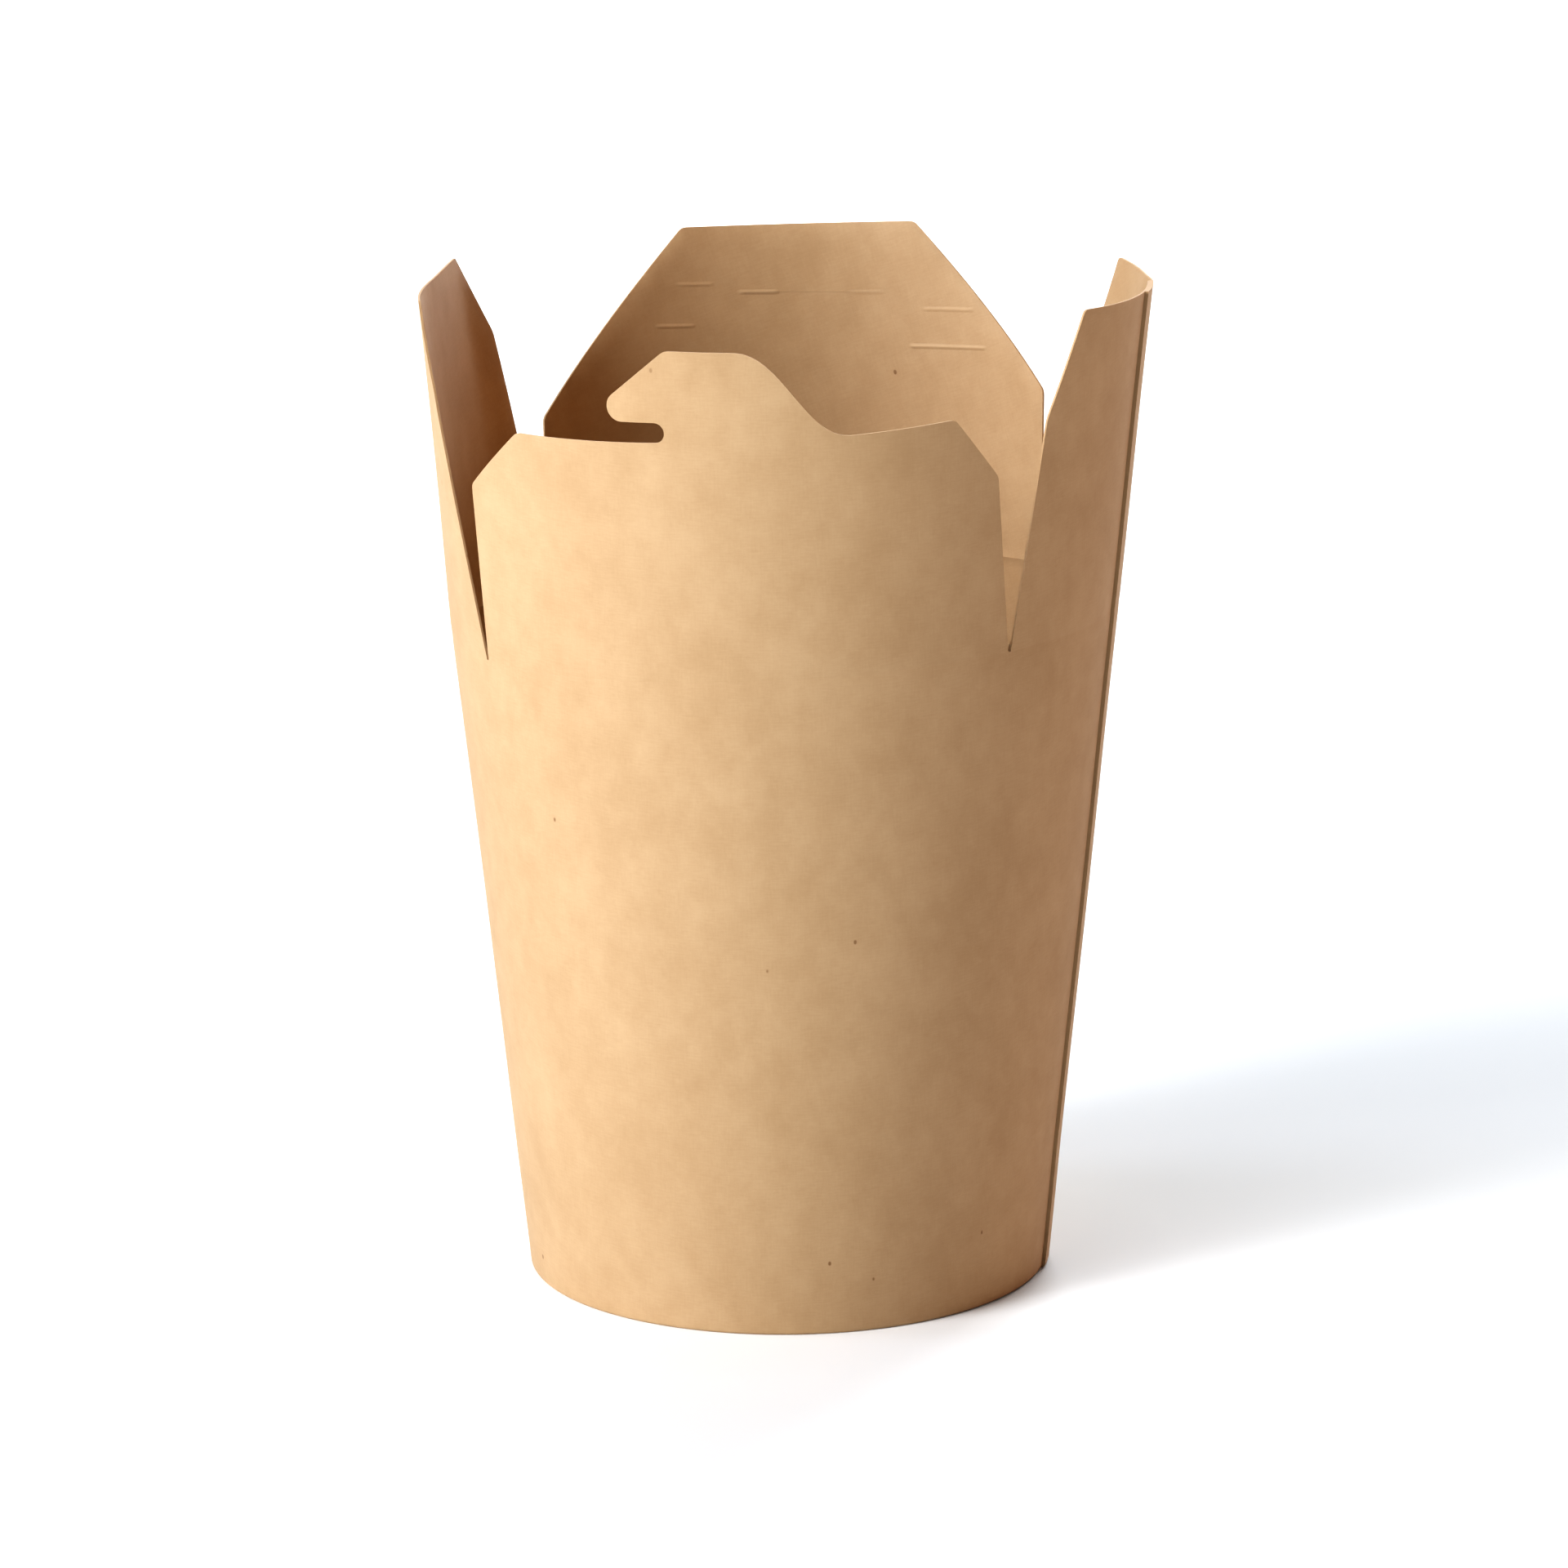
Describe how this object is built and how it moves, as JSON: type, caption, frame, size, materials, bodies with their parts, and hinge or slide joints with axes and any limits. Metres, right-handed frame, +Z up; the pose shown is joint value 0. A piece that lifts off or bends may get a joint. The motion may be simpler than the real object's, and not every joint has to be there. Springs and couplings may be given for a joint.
{
  "type": "noodle takeaway box",
  "caption": "Round paperboard noodle box with a recessed base, open at the top, with hinged lid flaps that fold in and a hook tab on the front flap.",
  "frame": {"origin": "centre of the foot ring on the surface the box stands on, on the cup's axis", "axes": "+Z up along the cup's axis, -Y towards the front flap with the hook tab, +X to the right seen from the front"},
  "size_m": [0.1007, 0.1011, 0.1408],
  "materials": {
    "kraft_board": "uncoated kraft board, fine fibres, very low sheen",
    "kraft_base": "uncoated kraft board, slightly darker"
  },
  "bodies": {
    "cup": {"cup_wall": "kraft_board", "cup_base": "kraft_base"},
    "front_flap": {"front_flap": "kraft_board"},
    "right_flap": {"right_flap": "kraft_board"},
    "back_flap": {"back_flap": "kraft_board"},
    "left_flap": {"left_flap": "kraft_board"}
  },
  "joints": [
    {"name": "front_fold", "type": "hinge", "parent": "cup", "child": "front_flap", "pos_m": [0, -0.02877, 0.09315], "axis": [-1, 0, 0], "range_deg": [0, 50]},
    {"name": "right_fold", "type": "hinge", "parent": "cup", "child": "right_flap", "pos_m": [0.03341, 0.0019, 0.09315], "axis": [0.0567, -0.9984, 0], "range_deg": [0, 98]},
    {"name": "back_fold", "type": "hinge", "parent": "cup", "child": "back_flap", "pos_m": [-0.00326, 0.02859, 0.09315], "axis": [0.9936, 0.1132, 0], "range_deg": [0, 50]},
    {"name": "left_fold", "type": "hinge", "parent": "cup", "child": "left_flap", "pos_m": [-0.03667, -0.00208, 0.09315], "axis": [-0.0567, 0.9984, 0], "range_deg": [0, 104]}
  ]
}
